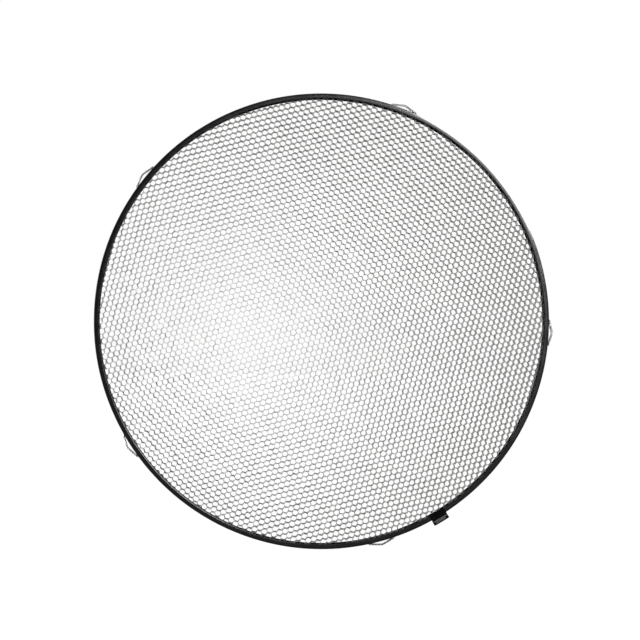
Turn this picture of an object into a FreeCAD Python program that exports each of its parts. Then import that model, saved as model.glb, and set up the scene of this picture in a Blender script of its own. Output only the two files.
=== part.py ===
import FreeCAD, Part
import math
import os

import Sketcher
from FreeCAD import Placement, Rotation, Vector

# Round honeycomb grid for a 52 cm reflector mouth: a rolled rim channel around
# a honeycomb core, five wire springs on the rim and a folded woven tab.
#
# The grid stands upright. The ring's axis is Y, the light leaves towards -Y,
# +X is to the right and +Z is up. The origin is the ring's centre at half
# its depth. Lengths are millimetres, angles degrees. An angle on the ring is
# counted in the XZ plane from +X towards +Z, anticlockwise seen from -Y.
#
# Small parts are drawn in a station frame and turned about Y to their place:
#   springs    Z is outwards, X runs clockwise along the rim, Y is the depth
#   tab parts  X is outwards, Z runs anticlockwise along the rim, Y is the depth
# The rim, splice plate and rivets use the tab's frame too.

doc = FreeCAD.newDocument("HoneycombGrid")
sheet = doc.addObject("Spreadsheet::Sheet", "Dims")
sheet.Label = "Dims"
sizes = {}
pieces = []

# ---------------------------------------------------------------- dimensions
# A size is a number or a short sum of earlier aliases and numbers, such as
# "-rim_depth / 2 + 1". Sketches and features take the same kind of sum.


def evaluate(source):
    """The value of a short sum."""
    total = 0.0
    for term in source.replace("-", "+-").split("+"):
        word, _, divisor = term.replace("-", "").partition("/")
        word = word.strip()
        if not word:
            continue
        amount = sizes[word] if word in sizes else float(word)
        amount /= float(divisor or 1)
        total += -amount if "-" in term else amount
    return total


def qualified(source):
    """The same sum with each alias written as Dims.alias."""
    for sign in "+-/":
        source = source.replace(sign, " " + sign + " ")
    return "".join("Dims." + word if word in sizes else word for word in source.split())


def add_sizes(**entries):
    """Writes sizes into the sheet, one row each: alias and number or formula."""
    for alias, entry in entries.items():
        row = len(sizes) + 1
        is_sum = isinstance(entry, str)
        value = round(evaluate(entry) if is_sum else float(entry), 6)
        sheet.set("A%d" % row, alias)
        sheet.set("B%d" % row, "=" + entry if is_sum else repr(value))
        sheet.setAlias("B%d" % row, alias)
        sizes[alias] = value
    doc.recompute()


# Rim: a rolled channel, open towards the centre.
add_sizes(
    rim_radius=253.0,
    rim_depth=14.9,
    sheet_thickness=1.0,
    lip_radius=247.4,
    bend_outside=2.5,
    bend_inside=1.5,
    seam_gap_angle=0.25,
    rim_sweep="360 - seam_gap_angle",
    half_depth="rim_depth / 2",
    inner_half_depth="half_depth - sheet_thickness",
    web_inner_radius="rim_radius - sheet_thickness",
    cut_reach="rim_radius + 10",
)

# Core: the cells keep the real block's share of metal, with cells three
# times as wide as the real quarter-inch ones.
add_sizes(
    core_radius=249.0,
    core_thickness=12.7,
    cell_pitch=19.26,
    cell_wall=0.25,
    core_edge_wall=0.5,
    cell_turn=14.6,
)
WHOLE_CELL_MARGIN = 0.05
LEAST_CELL_AREA = 6.0

# Springs: round wire, bent as a hairpin of two strands.
SPRING_COUNT = 5
add_sizes(
    wire_radius=0.65,
    strand_offset=3.25,
    first_spring_angle=-3.0,
    spring_step=360.0 / SPRING_COUNT,
    knee_offset=14.5,
    knee_radius_on_ring=253.5,
    apex_radius_on_ring=257.25,
    apex_half_gap=0.32,
    wire_bend=1.0,
    press_angle=11.0,
    anchor_stub=2.75,
    hook_length=3.0,
    sliding_stub=3.05,
    foot_length=3.5,
    anchor_hole_radius=1.2,
    slot_near_end=13.4,
    slot_far_end=16.9,
    slot_half_width=4.25,
)

# Splice: a plate and four rivets across the rim's butt joint, under the tab.
add_sizes(
    tab_angle=-59.2,
    rivet_radius=1.5,
    rivet_hole_radius=1.52,
    rivet_head_radius=2.1,
    rivet_offset_along=8.0,
    rivet_offset_deep=2.4,
    rivet_head_start=249.9,
    rivet_head_thickness=0.7,
    rivet_shank_start="rivet_head_start + rivet_head_thickness",
    rivet_shank_length=2.25,
    plate_outer_radius=251.95,
    plate_inner_radius=250.95,
    plate_half_width=4.6,
    plate_sweep=6.8,
)

# Tab strap, laid over the rim.
add_sizes(
    webbing_thickness=1.4,
    strap_width=18.5,
    strap_clearance=0.1,
    strap_core_gap=0.12,
    strap_inner_radius="rim_radius + strap_clearance",
    strap_outer_radius="strap_inner_radius + webbing_thickness",
    strap_front_inner="-half_depth - strap_clearance",
    strap_front="strap_front_inner - webbing_thickness",
    strap_lip_radius="lip_radius - strap_clearance",
    strap_lip_inner="strap_lip_radius - webbing_thickness",
    strap_lip_depth="-core_thickness / 2 - strap_core_gap",
    strap_end=6.0,
    strap_bend_inside="bend_outside + strap_clearance",
    strap_bend_outside=3.9,
)
add_sizes(strap_sweep=math.degrees(sizes["strap_width"] / sizes["rim_radius"]))

# Tab tail, its label and its stitches.
STITCH_COUNT = 9
add_sizes(
    fold_radius_on_ring=256.0,
    tail_half_thickness=1.2,
    tail_end_radius=260.2,
    label_near_edge=256.3,
    label_far_edge=259.9,
    label_width=17.6,
    label_thickness=0.4,
    label_back="-tail_half_thickness",
    label_front="label_back - label_thickness",
    stitch_length=1.2,
    stitch_width=0.35,
    stitch_height=0.25,
    stitch_span=15.2,
    stitch_inset=0.95,
    stitch_lo="label_far_edge - stitch_inset",
    stitch_hi="stitch_lo + stitch_width",
    stitch_front="label_front - stitch_height",
    stitch_back="tail_half_thickness + stitch_height",
    stitch_start="-stitch_span / 2 - stitch_length / 2",
)

# ------------------------------------------------------------ sketch helpers


def origin_feature(body, role):
    for feature in body.Origin.OriginFeatures:
        if feature.Role == role:
            return feature
    raise RuntimeError("no origin feature " + role)


def new_body(name, compound=False):
    """A body. compound allows it to hold several separate solids."""
    body = doc.addObject("PartDesign::Body", name)
    body.Label = name
    if compound:
        body.AllowCompound = True
    return body


def new_sketch(body, name, plane, lift=None):
    """A sketch on an origin plane, raised along the plane's normal by lift."""
    sketch = body.newObject("Sketcher::SketchObject", name)
    sketch.AttachmentSupport = [(origin_feature(body, plane), "")]
    sketch.MapMode = "FlatFace"
    if lift is not None:
        sketch.AttachmentOffset = Placement(Vector(0, 0, evaluate(lift)), Rotation())
        sketch.setExpression("AttachmentOffset.Base.z", qualified(lift))
    return sketch


def bind(sketch, index, source):
    """Binds a dimensional constraint to the sheet."""
    sketch.setExpression("Constraints[%d]" % index, qualified(source))


def fix_point(sketch, geo, pos, across, along):
    """Holds a point at two sums, counted from the sketch origin."""
    for kind, source, axis in (("DistanceX", across, -2), ("DistanceY", along, -1)):
        value = evaluate(source)
        if abs(value) < 1e-9:
            sketch.addConstraint(Sketcher.Constraint("PointOnObject", geo, pos, axis))
        else:
            index = sketch.addConstraint(Sketcher.Constraint(kind, -1, 1, geo, pos, value))
            bind(sketch, index, source)


def polygon(sketch, points):
    """Closed outline through pairs of sums."""
    corners = [Vector(evaluate(x), evaluate(y), 0) for x, y in points]
    count = len(points)
    first = sketch.GeometryCount
    for i in range(count):
        sketch.addGeometry(Part.LineSegment(corners[i], corners[(i + 1) % count]), False)
    for i in range(count):
        sketch.addConstraint(Sketcher.Constraint(
            "Coincident", first + i, 2, first + (i + 1) % count, 1))
    for i, (x, y) in enumerate(points):
        fix_point(sketch, first + i, 1, x, y)


def rectangle(sketch, left, right, low, high):
    polygon(sketch, [(left, low), (right, low), (right, high), (left, high)])


def circle(sketch, x, y, radius):
    value = evaluate(radius)
    centre = Vector(evaluate(x), evaluate(y), 0)
    geo = sketch.addGeometry(Part.Circle(centre, Vector(0, 0, 1), value), False)
    index = sketch.addConstraint(Sketcher.Constraint("Radius", geo, value))
    bind(sketch, index, radius)
    fix_point(sketch, geo, 3, x, y)


def rivet_circles(sketch, radius):
    """Four circles, two on each side of the butt joint."""
    for depth_sign in ("", "-"):
        for along_sign in ("", "-"):
            circle(sketch, depth_sign + "rivet_offset_deep",
                   along_sign + "rivet_offset_along", radius)


# ----------------------------------------------------------- feature helpers


def finish_feature(body, feature):
    body.Tip = feature
    doc.recompute()
    return feature


def pad(body, sketch, name, length, midplane=False):
    feature = body.newObject("PartDesign::Pad", name)
    feature.Profile = sketch
    feature.setExpression("Length", qualified(length))
    feature.Reversed = False
    feature.Midplane = midplane
    return finish_feature(body, feature)


def pocket(body, sketch, name):
    """Cuts outwards from the ring's centre through the web."""
    before = body.Shape.Volume
    feature = body.newObject("PartDesign::Pocket", name)
    feature.Profile = sketch
    feature.setExpression("Length", qualified("cut_reach"))
    feature.Reversed = True
    finish_feature(body, feature)
    if not feature.Shape.Volume < before - 0.5:
        raise RuntimeError(name + " cuts nothing")
    return feature


def revolve(body, sketch, name, angle, midplane=False):
    feature = body.newObject("PartDesign::Revolution", name)
    feature.Profile = sketch
    feature.ReferenceAxis = (sketch, ["V_Axis"])
    feature.setExpression("Angle", qualified(angle))
    feature.Midplane = midplane
    return finish_feature(body, feature)


def fillet_rings(body, name, radius, rings):
    """Rounds the ring edges at the given pairs of radius and depth."""
    base = body.Tip
    wanted = [(evaluate(ring_radius), evaluate(depth)) for ring_radius, depth in rings]
    names = []
    for i, edge in enumerate(base.Shape.Edges):
        # Short edges and straight ones aren't rings.
        if edge.Length < 5 or not hasattr(edge.Curve, "Radius"):
            continue
        centre = edge.Curve.Center
        for ring_radius, depth in wanted:
            misses = (edge.Curve.Radius - ring_radius, centre.y - depth, centre.x, centre.z)
            if all(abs(miss) < 1e-4 for miss in misses):
                names.append("Edge%d" % (i + 1))
    if len(names) != len(wanted):
        raise RuntimeError("%s found %d edges" % (name, len(names)))
    feature = body.newObject("PartDesign::Fillet", name)
    feature.Base = (base, names)
    feature.setExpression("Radius", qualified(radius))
    return finish_feature(body, feature)


def turn_about_y(angle):
    return Placement(Vector(0, 0, 0), Rotation(Vector(0, 1, 0), angle))


def spring_turn(ring_angle):
    """Turns a frame whose Z is outwards to an angle on the ring."""
    return turn_about_y(90.0 - ring_angle)


def finish_piece(piece, solids=1, turn=None):
    """Turns a piece to its place and lists it with its number of solids."""
    if turn is not None:
        piece.Placement = turn
    pieces.append((piece, solids))


# A frame whose X is outwards, turned to the tab's place.
TAB_TURN = turn_about_y(-sizes["tab_angle"])

# --------------------------------------------------------------- rim_channel


def build_rim():
    """A strip rolled to a channel and bent to a ring, with its butt joint at
    the body's own +X, so that the joint lies under the tab."""
    rim = new_body("rim_channel")
    sketch = new_sketch(rim, "rim_section", "XY_Plane")
    polygon(sketch, [
        ("rim_radius", "-half_depth"),
        ("rim_radius", "half_depth"),
        ("lip_radius", "half_depth"),
        ("lip_radius", "inner_half_depth"),
        ("web_inner_radius", "inner_half_depth"),
        ("web_inner_radius", "-inner_half_depth"),
        ("lip_radius", "-inner_half_depth"),
        ("lip_radius", "-half_depth"),
    ])
    revolve(rim, sketch, "rolled_ring", "rim_sweep")
    fillet_rings(rim, "outside_bends", "bend_outside",
                 [("rim_radius", "half_depth"), ("rim_radius", "-half_depth")])
    fillet_rings(rim, "inside_bends", "bend_inside",
                 [("web_inner_radius", "inner_half_depth"),
                  ("web_inner_radius", "-inner_half_depth")])

    # Two round holes and one window through the web for each spring.
    sketch = new_sketch(rim, "spring_openings", "XY_Plane")
    sketch.AttachmentOffset = spring_turn(sizes["first_spring_angle"] - sizes["tab_angle"])
    circle(sketch, "-knee_offset", "strand_offset", "anchor_hole_radius")
    circle(sketch, "-knee_offset", "-strand_offset", "anchor_hole_radius")
    rectangle(sketch, "slot_near_end", "slot_far_end", "-slot_half_width", "slot_half_width")
    cut = pocket(rim, sketch, "spring_cut")
    one_cut_volume = rim.Shape.Volume
    pattern = rim.newObject("PartDesign::PolarPattern", "spring_cuts")
    pattern.Originals = [cut]
    pattern.Axis = (origin_feature(rim, "Y_Axis"), [""])
    pattern.Angle = 360.0
    pattern.Occurrences = SPRING_COUNT
    finish_feature(rim, pattern)
    least_cut = 30.0
    if not rim.Shape.Volume < one_cut_volume - (SPRING_COUNT - 1) * least_cut:
        raise RuntimeError("the spring openings were not repeated")

    sketch = new_sketch(rim, "rivet_holes", "YZ_Plane")
    rivet_circles(sketch, "rivet_hole_radius")
    pocket(rim, sketch, "rivet_cut")
    finish_piece(rim, turn=TAB_TURN)


# ------------------------------------------------------------ honeycomb_core


def ring_wire(radius, y):
    return Part.Wire(Part.makeCircle(radius, Vector(0, y, 0), Vector(0, 1, 0)))


def cell_wires(open_radius, y):
    """Cell outlines at depth y: the whole ones, then those clipped by the disc."""
    pitch = sizes["cell_pitch"]
    turn = math.radians(sizes["cell_turn"])
    corner_radius = (pitch - sizes["cell_wall"]) / 2 / math.cos(math.pi / 6)
    disc = Part.Face(ring_wire(open_radius, y))
    whole = []
    clipped = []
    reach = int(sizes["core_radius"] / pitch) + 3
    for row in range(-reach - 4, reach + 5):
        for column in range(-2 * reach, 2 * reach + 1):
            across = pitch * (column + 0.5 * (row % 2))
            up = pitch * math.sqrt(3) / 2 * row
            x = across * math.cos(turn) - up * math.sin(turn)
            z = across * math.sin(turn) + up * math.cos(turn)
            if math.hypot(x, z) - corner_radius > open_radius:
                continue
            corners = []
            for k in range(6):
                angle = turn + math.radians(30 + 60 * k)
                corners.append(Vector(x + corner_radius * math.cos(angle), y,
                                      z + corner_radius * math.sin(angle)))
            wire = Part.makePolygon(corners + corners[:1])
            farthest = max(math.hypot(corner.x, corner.z) for corner in corners)
            if farthest < open_radius - WHOLE_CELL_MARGIN:
                whole.append(wire)
                continue
            for face in Part.Face(wire).common(disc).Faces:
                # Slivers at the edge stay solid.
                if face.Area > LEAST_CELL_AREA:
                    clipped.append(face.OuterWire)
    return whole + clipped


def build_core():
    """A disc cut through by hexagonal cells. Cells at the edge are clipped and
    closed with a thin edge wall."""
    front = -sizes["core_thickness"] / 2
    holes = cell_wires(sizes["core_radius"] - sizes["core_edge_wall"], front)
    disc = Part.Face([ring_wire(sizes["core_radius"], front)] + holes)
    # Turns the hole wires the right way round.
    disc.validate()
    core = doc.addObject("Part::Feature", "honeycomb_core")
    core.Label = "honeycomb_core"
    core.Shape = disc.extrude(Vector(0, sizes["core_thickness"], 0)).Solids[0]
    finish_piece(core)


# -------------------------------------------------------------------- splice


def build_splice_plate():
    """A curved strip inside the channel, behind the butt joint."""
    plate = new_body("splice_plate")
    sketch = new_sketch(plate, "plate_section", "XY_Plane")
    rectangle(sketch, "plate_inner_radius", "plate_outer_radius",
              "-plate_half_width", "plate_half_width")
    revolve(plate, sketch, "plate_strip", "plate_sweep", midplane=True)
    sketch = new_sketch(plate, "plate_holes", "YZ_Plane")
    rivet_circles(sketch, "rivet_hole_radius")
    pocket(plate, sketch, "plate_cut")
    finish_piece(plate, turn=TAB_TURN)


def build_rivets():
    """Four rivets, headed inside the channel and ending within the web."""
    rivets = new_body("splice_rivets", compound=True)
    for name, start, radius, length in (
            ("rivet_heads", "rivet_head_start", "rivet_head_radius", "rivet_head_thickness"),
            ("rivet_shanks", "rivet_shank_start", "rivet_radius", "rivet_shank_length")):
        sketch = new_sketch(rivets, name, "YZ_Plane", lift=start)
        rivet_circles(sketch, radius)
        pad(rivets, sketch, name + "_pad", length)
    finish_piece(rivets, solids=4, turn=TAB_TURN)


# ------------------------------------------------------------------- springs
# Each spring is one wire. It is divided at its apex into the leg whose two
# feet are hooked in the round holes and the leg whose cross-bend slides
# behind the window.


def bent_pieces(corners, bend):
    """Lines and arcs along a route of corners, each corner bent to a radius."""
    stops = [corners[0]]
    for i in range(1, len(corners) - 1):
        back = (corners[i - 1] - corners[i]).normalize()
        ahead = (corners[i + 1] - corners[i]).normalize()
        half_angle = back.getAngle(ahead) / 2
        reach = bend / math.tan(half_angle)
        middle = (back + ahead).normalize()
        centre = corners[i] + middle * (bend / math.sin(half_angle))
        stops.append(corners[i] + back * reach)
        stops.append(centre - middle * bend)
        stops.append(corners[i] + ahead * reach)
    stops.append(corners[-1])
    route = []
    for i in range(0, len(stops) - 1, 3):
        route.append(Part.LineSegment(stops[i], stops[i + 1]))
        if i + 3 < len(stops):
            route.append(Part.Arc(stops[i + 1], stops[i + 2], stops[i + 3]))
    return route


def bent_path(sketch, prefix, corners, bend):
    """Open sketch path with round bends. The ends of each line go into the
    sheet, and the path is held there. Returns the names of its edges."""
    points = [Vector(x, y, 0) for x, y in corners]
    edges = [sketch.addGeometry(piece, False) for piece in bent_pieces(points, sizes[bend])]
    doc.recompute()
    # Which end of each edge is its start: arcs may be stored reversed.
    here = points[0]
    ends = []
    for geo in edges:
        one = sketch.getPoint(geo, 1)
        two = sketch.getPoint(geo, 2)
        if (one - here).Length < (two - here).Length:
            ends.append((geo, 1, 2))
            here = two
        else:
            ends.append((geo, 2, 1))
            here = one
    for (geo, _, end), (next_geo, next_start, _) in zip(ends, ends[1:]):
        sketch.addConstraint(Sketcher.Constraint("Coincident", geo, end, next_geo, next_start))
    letters = iter("abcdefghijkl")
    for i, (geo, start, end) in enumerate(ends):
        # Every second edge is an arc.
        if i % 2 == 1:
            index = sketch.addConstraint(Sketcher.Constraint("Radius", geo, sizes[bend]))
            bind(sketch, index, bend)
            continue
        for pos in (start, end):
            letter = next(letters)
            point = sketch.getPoint(geo, pos)
            across = "%s_across_%s" % (prefix, letter)
            along = "%s_along_%s" % (prefix, letter)
            # The springs are alike, so the first one's path serves all.
            if across not in sizes:
                add_sizes(**{across: point.x, along: point.y})
            fix_point(sketch, geo, pos, across, along)
    return ["Edge%d" % (i + 1) for i in range(len(edges))]


# Strand corners as pairs of X and Z in the spring's station frame. At the
# apex each leg stops short of the middle, along its own slope.
knee_x = sizes["knee_offset"]
knee_z = sizes["knee_radius_on_ring"]
slope = math.atan2(sizes["apex_radius_on_ring"] - knee_z, knee_x)
apex_x = sizes["apex_half_gap"] * math.cos(slope)
apex_z = sizes["apex_radius_on_ring"] - sizes["apex_half_gap"] * math.sin(slope)
press = math.radians(sizes["press_angle"])

anchor_foot = (-knee_x + sizes["anchor_stub"] * math.sin(press / 2),
               knee_z - sizes["anchor_stub"] * math.cos(press / 2))
hook_tip = (anchor_foot[0] + sizes["hook_length"], anchor_foot[1])
ANCHOR_CORNERS = [hook_tip, anchor_foot, (-knee_x, knee_z), (-apex_x, apex_z)]

slide_foot = (knee_x, knee_z - sizes["sliding_stub"])
slide_tip = (slide_foot[0] + sizes["foot_length"] * math.cos(press),
             slide_foot[1] - sizes["foot_length"] * math.sin(press))
SLIDE_CORNERS = [(apex_x, apex_z), (knee_x, knee_z), slide_foot, slide_tip]

add_sizes(hook_tip_across=hook_tip[0], hook_tip_along=hook_tip[1])


def build_anchor_leg(number, ring_angle):
    """Two separate strands with hooked feet, mirrored in depth."""
    leg = new_body("spring_%d_anchor_leg" % number, compound=True)
    # The XZ plane's own normal is -Y, so this path lies at +Y.
    spine = new_sketch(leg, "anchor_path_%d" % number, "XZ_Plane", lift="-strand_offset")
    edges = bent_path(spine, "anchor", ANCHOR_CORNERS, "wire_bend")
    section = new_sketch(leg, "anchor_wire_%d" % number, "YZ_Plane", lift="hook_tip_across")
    circle(section, "strand_offset", "hook_tip_along", "wire_radius")
    doc.recompute()

    strand = leg.newObject("PartDesign::AdditivePipe", "anchor_strand_%d" % number)
    strand.Profile = section
    strand.Spine = (spine, edges)
    finish_feature(leg, strand)

    pair = leg.newObject("PartDesign::Mirrored", "anchor_pair_%d" % number)
    pair.Originals = [strand]
    pair.MirrorPlane = (origin_feature(leg, "XZ_Plane"), [""])
    finish_feature(leg, pair)
    finish_piece(leg, solids=2, turn=spring_turn(ring_angle))


def build_sliding_leg(number, ring_angle):
    """The wire's closed half: two strands joined behind the window. Its path
    isn't flat, so it is swept in one run."""
    depth = sizes["strand_offset"]
    route = [Vector(x, depth, z) for x, z in SLIDE_CORNERS]
    route += [Vector(x, -depth, z) for x, z in reversed(SLIDE_CORNERS)]
    path = Part.Wire([piece.toShape() for piece in bent_pieces(route, sizes["wire_bend"])])
    section = Part.Wire(Part.makeCircle(sizes["wire_radius"], route[0], route[1] - route[0]))
    name = "spring_%d_sliding_leg" % number
    leg = doc.addObject("Part::Feature", name)
    leg.Label = name
    # Makes a solid, with no Frenet frame.
    leg.Shape = path.makePipeShell([section], True, False)
    finish_piece(leg, turn=spring_turn(ring_angle))


def build_springs():
    for i in range(SPRING_COUNT):
        ring_angle = sizes["first_spring_angle"] + sizes["spring_step"] * i
        build_anchor_leg(i + 1, ring_angle)
        build_sliding_leg(i + 1, ring_angle)


# ----------------------------------------------------------------------- tab


def build_strap():
    """Woven strap laid over the rim: tucked around the front lip's edge, over
    the front and along the outside. The back stays bare."""
    strap = new_body("tab_strap")
    sketch = new_sketch(strap, "strap_section", "XY_Plane")
    polygon(sketch, [
        ("strap_outer_radius", "strap_end"),
        ("strap_inner_radius", "strap_end"),
        ("strap_inner_radius", "strap_front_inner"),
        ("strap_lip_radius", "strap_front_inner"),
        ("strap_lip_radius", "strap_lip_depth"),
        ("strap_lip_inner", "strap_lip_depth"),
        ("strap_lip_inner", "strap_front"),
        ("strap_outer_radius", "strap_front"),
    ])
    revolve(strap, sketch, "strap_band", "strap_sweep", midplane=True)
    fillet_rings(strap, "strap_inner_bend", "strap_bend_inside",
                 [("strap_inner_radius", "strap_front_inner")])
    fillet_rings(strap, "strap_outer_bend", "strap_bend_outside",
                 [("strap_outer_radius", "strap_front")])
    finish_piece(strap, turn=TAB_TURN)


def build_tail():
    """The strap's end, folded back on itself, with a rounded root at the fold."""
    tail = new_body("tab_tail")
    sketch = new_sketch(tail, "tail_section", "XY_Plane")
    corners = [
        ("fold_radius_on_ring", "-tail_half_thickness"),
        ("tail_end_radius", "-tail_half_thickness"),
        ("tail_end_radius", "tail_half_thickness"),
        ("fold_radius_on_ring", "tail_half_thickness"),
    ]
    points = [Vector(evaluate(x), evaluate(y), 0) for x, y in corners]
    for i in range(3):
        sketch.addGeometry(Part.LineSegment(points[i], points[i + 1]), False)
    fold = Part.Circle(Vector(sizes["fold_radius_on_ring"], 0, 0), Vector(0, 0, 1),
                       sizes["tail_half_thickness"])
    sketch.addGeometry(Part.ArcOfCircle(fold, math.pi / 2, 3 * math.pi / 2), False)
    for i in range(4):
        sketch.addConstraint(Sketcher.Constraint("Coincident", i, 2, (i + 1) % 4, 1))
    fix_point(sketch, 0, 1, *corners[0])
    for i in range(3):
        fix_point(sketch, i, 2, *corners[i + 1])
    index = sketch.addConstraint(Sketcher.Constraint(
        "DistanceX", -1, 1, 3, 3, sizes["fold_radius_on_ring"]))
    bind(sketch, index, "fold_radius_on_ring")
    doc.recompute()
    pad(tail, sketch, "tail_block", "strap_width", midplane=True)
    finish_piece(tail, turn=TAB_TURN)


def build_label():
    """A thin blank label on the tail's front."""
    label = new_body("tab_label")
    sketch = new_sketch(label, "label_section", "XY_Plane")
    rectangle(sketch, "label_near_edge", "label_far_edge", "label_front", "label_back")
    pad(label, sketch, "label_block", "label_width", midplane=True)
    finish_piece(label, turn=TAB_TURN)


def build_stitching():
    """One row of thread stitches on the label and one on the tail's back."""
    stitches = new_body("tab_stitching", compound=True)
    sketch = new_sketch(stitches, "stitch_section", "XY_Plane", lift="stitch_start")
    rectangle(sketch, "stitch_lo", "stitch_hi", "stitch_front", "label_front")
    rectangle(sketch, "stitch_lo", "stitch_hi", "tail_half_thickness", "stitch_back")
    first = pad(stitches, sketch, "stitch_pair", "stitch_length")
    row = stitches.newObject("PartDesign::LinearPattern", "stitch_row")
    row.Originals = [first]
    row.Direction = (origin_feature(stitches, "Z_Axis"), [""])
    row.setExpression("Length", qualified("stitch_span"))
    row.Occurrences = STITCH_COUNT
    finish_feature(stitches, row)
    finish_piece(stitches, solids=2 * STITCH_COUNT, turn=TAB_TURN)


# ---------------------------------------------------------- build and export


def check_document():
    for item in doc.Objects:
        state = [str(s) for s in item.State]
        if "Invalid" in state or "Error" in state:
            raise RuntimeError("%s failed: %s" % (item.Name, state))


def check_piece(piece, solids):
    shape = piece.Shape
    if shape.isNull() or not shape.isValid():
        raise RuntimeError(piece.Label + " has no valid shape")
    if len(shape.Solids) != solids:
        raise RuntimeError("%s has %d solids, not %d"
                           % (piece.Label, len(shape.Solids), solids))
    if min(solid.Volume for solid in shape.Solids) <= 0.01:
        raise RuntimeError(piece.Label + " has an empty solid")


build_rim()
build_core()
build_splice_plate()
build_rivets()
build_springs()
build_strap()
build_tail()
build_label()
build_stitching()

doc.recompute()
check_document()
for piece, solids in pieces:
    check_piece(piece, solids)

os.makedirs("parts", exist_ok=True)
for piece, _ in pieces:
    piece.Shape.exportStep("parts/%s.step" % piece.Label)
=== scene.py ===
"""A round honeycomb core in a black rolled channel rim, with five wire clips and a webbing tab.

The disc stands upright in the XZ plane, centred on the origin, and its front faces -Y.
Angles are counted in the XZ plane from +X towards +Z, so they run anticlockwise as seen
from the front. Sizes are in millimetres and degrees unless noted, and meshes are in metres.
"""
import bmesh
import bpy
import math
import numpy as np
from mathutils import Matrix, Vector


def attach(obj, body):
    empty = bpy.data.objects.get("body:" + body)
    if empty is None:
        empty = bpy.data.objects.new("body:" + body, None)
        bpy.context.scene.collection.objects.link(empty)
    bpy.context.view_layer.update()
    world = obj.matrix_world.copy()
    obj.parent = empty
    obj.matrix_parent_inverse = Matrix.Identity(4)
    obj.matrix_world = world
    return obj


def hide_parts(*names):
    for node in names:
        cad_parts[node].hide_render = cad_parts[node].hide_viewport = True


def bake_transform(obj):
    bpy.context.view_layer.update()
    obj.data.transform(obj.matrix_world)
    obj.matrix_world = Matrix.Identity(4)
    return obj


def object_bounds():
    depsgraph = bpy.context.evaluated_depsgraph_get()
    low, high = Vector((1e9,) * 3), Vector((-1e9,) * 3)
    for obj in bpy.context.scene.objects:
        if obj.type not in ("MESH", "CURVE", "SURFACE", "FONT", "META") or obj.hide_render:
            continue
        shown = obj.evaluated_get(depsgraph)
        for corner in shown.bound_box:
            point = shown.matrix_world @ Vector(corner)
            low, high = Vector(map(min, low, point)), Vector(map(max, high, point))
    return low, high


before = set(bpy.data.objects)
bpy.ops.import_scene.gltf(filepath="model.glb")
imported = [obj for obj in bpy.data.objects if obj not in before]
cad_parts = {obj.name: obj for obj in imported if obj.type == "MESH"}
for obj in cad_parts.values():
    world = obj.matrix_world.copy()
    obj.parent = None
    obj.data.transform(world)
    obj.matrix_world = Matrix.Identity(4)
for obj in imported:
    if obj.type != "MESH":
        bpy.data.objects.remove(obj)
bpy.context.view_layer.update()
MM = 0.001

TAB_ANGLE = -59.2
CLIP_ANGLES = [-3.0 + 72.0 * k for k in range(5)]

RIM_OUTER = 253.0            # outside radius of the channel's web
RIM_HALF_DEPTH = 7.45
SHEET = 1.0                  # thickness of the channel's sheet
CLIP_HALF_SPAN = 14.5        # from a clip's middle to its legs, along the rim
CLIP_LEG_DEPTH = 3.25        # from the mid-plane to either wire of a clip


# ------------------------------------------------------------------ stations

def at_tab(points):
    """Tab station (outwards, depth, anticlockwise along the rim), mm -> object, m."""
    p = np.asarray(points, float) * MM
    c, s = math.cos(math.radians(TAB_ANGLE)), math.sin(math.radians(TAB_ANGLE))
    return np.stack([p[:, 0] * c - p[:, 2] * s, p[:, 1], p[:, 0] * s + p[:, 2] * c], 1)


def at_clip(angle, points):
    """Clip station (clockwise along the rim, depth, outwards), mm -> object, m."""
    p = np.asarray(points, float) * MM
    turn = math.radians(90.0 - angle)
    c, s = math.cos(turn), math.sin(turn)
    return np.stack([p[:, 0] * c + p[:, 2] * s, p[:, 1], -p[:, 0] * s + p[:, 2] * c], 1)


# ------------------------------------------------------------- mesh helpers

def paint(obj, material):
    obj.data.materials.clear()
    obj.data.materials.append(material)


def add_mesh(name, verts, faces, smooth_deg=None):
    mesh = bpy.data.meshes.new(name)
    mesh.from_pydata([tuple(v) for v in verts], [], faces)
    mesh.validate()
    mesh.update()
    obj = bpy.data.objects.new(name, mesh)
    bpy.context.scene.collection.objects.link(obj)
    if smooth_deg is not None:
        mesh.shade_smooth()
        mesh.set_sharp_from_angle(angle=math.radians(smooth_deg))
    return obj


def add_piece(name, verts, faces, material, smooth_deg=None):
    """A painted mesh with all its faces turned outwards."""
    obj = add_mesh(name, verts, faces, smooth_deg)
    bm = bmesh.new()
    bm.from_mesh(obj.data)
    bmesh.ops.recalc_face_normals(bm, faces=bm.faces)
    bm.to_mesh(obj.data)
    bm.free()
    obj.data.update()
    paint(obj, material)
    return obj


def joined(parts):
    """Several (verts, faces) pairs as one."""
    verts, faces = [], []
    for part_verts, part_faces in parts:
        base = len(verts)
        verts.extend(part_verts)
        faces.extend(tuple(base + k for k in face) for face in part_faces)
    return verts, faces


def ring_sides(rings, size):
    """Faces between consecutive closed rings of `size` points."""
    faces = []
    for i in range(rings - 1):
        for k in range(size):
            after = (k + 1) % size
            faces.append((i * size + k, i * size + after,
                          (i + 1) * size + after, (i + 1) * size + k))
    return faces


def arc(centre_x, centre_y, radius, start_deg, end_deg, steps):
    points = []
    for k in range(steps + 1):
        a = math.radians(start_deg + (end_deg - start_deg) * k / steps)
        points.append((centre_x + radius * math.cos(a), centre_y + radius * math.sin(a)))
    return points


def rounded_rectangle(x_low, x_high, y_low, y_high, radius, steps):
    """Anticlockwise outline. The limits are those of the corner arcs' centres."""
    return (arc(x_high, y_high, radius, 0, 90, steps)
            + arc(x_low, y_high, radius, 90, 180, steps)
            + arc(x_low, y_low, radius, 180, 270, steps)
            + arc(x_high, y_low, radius, 270, 360, steps))


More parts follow.
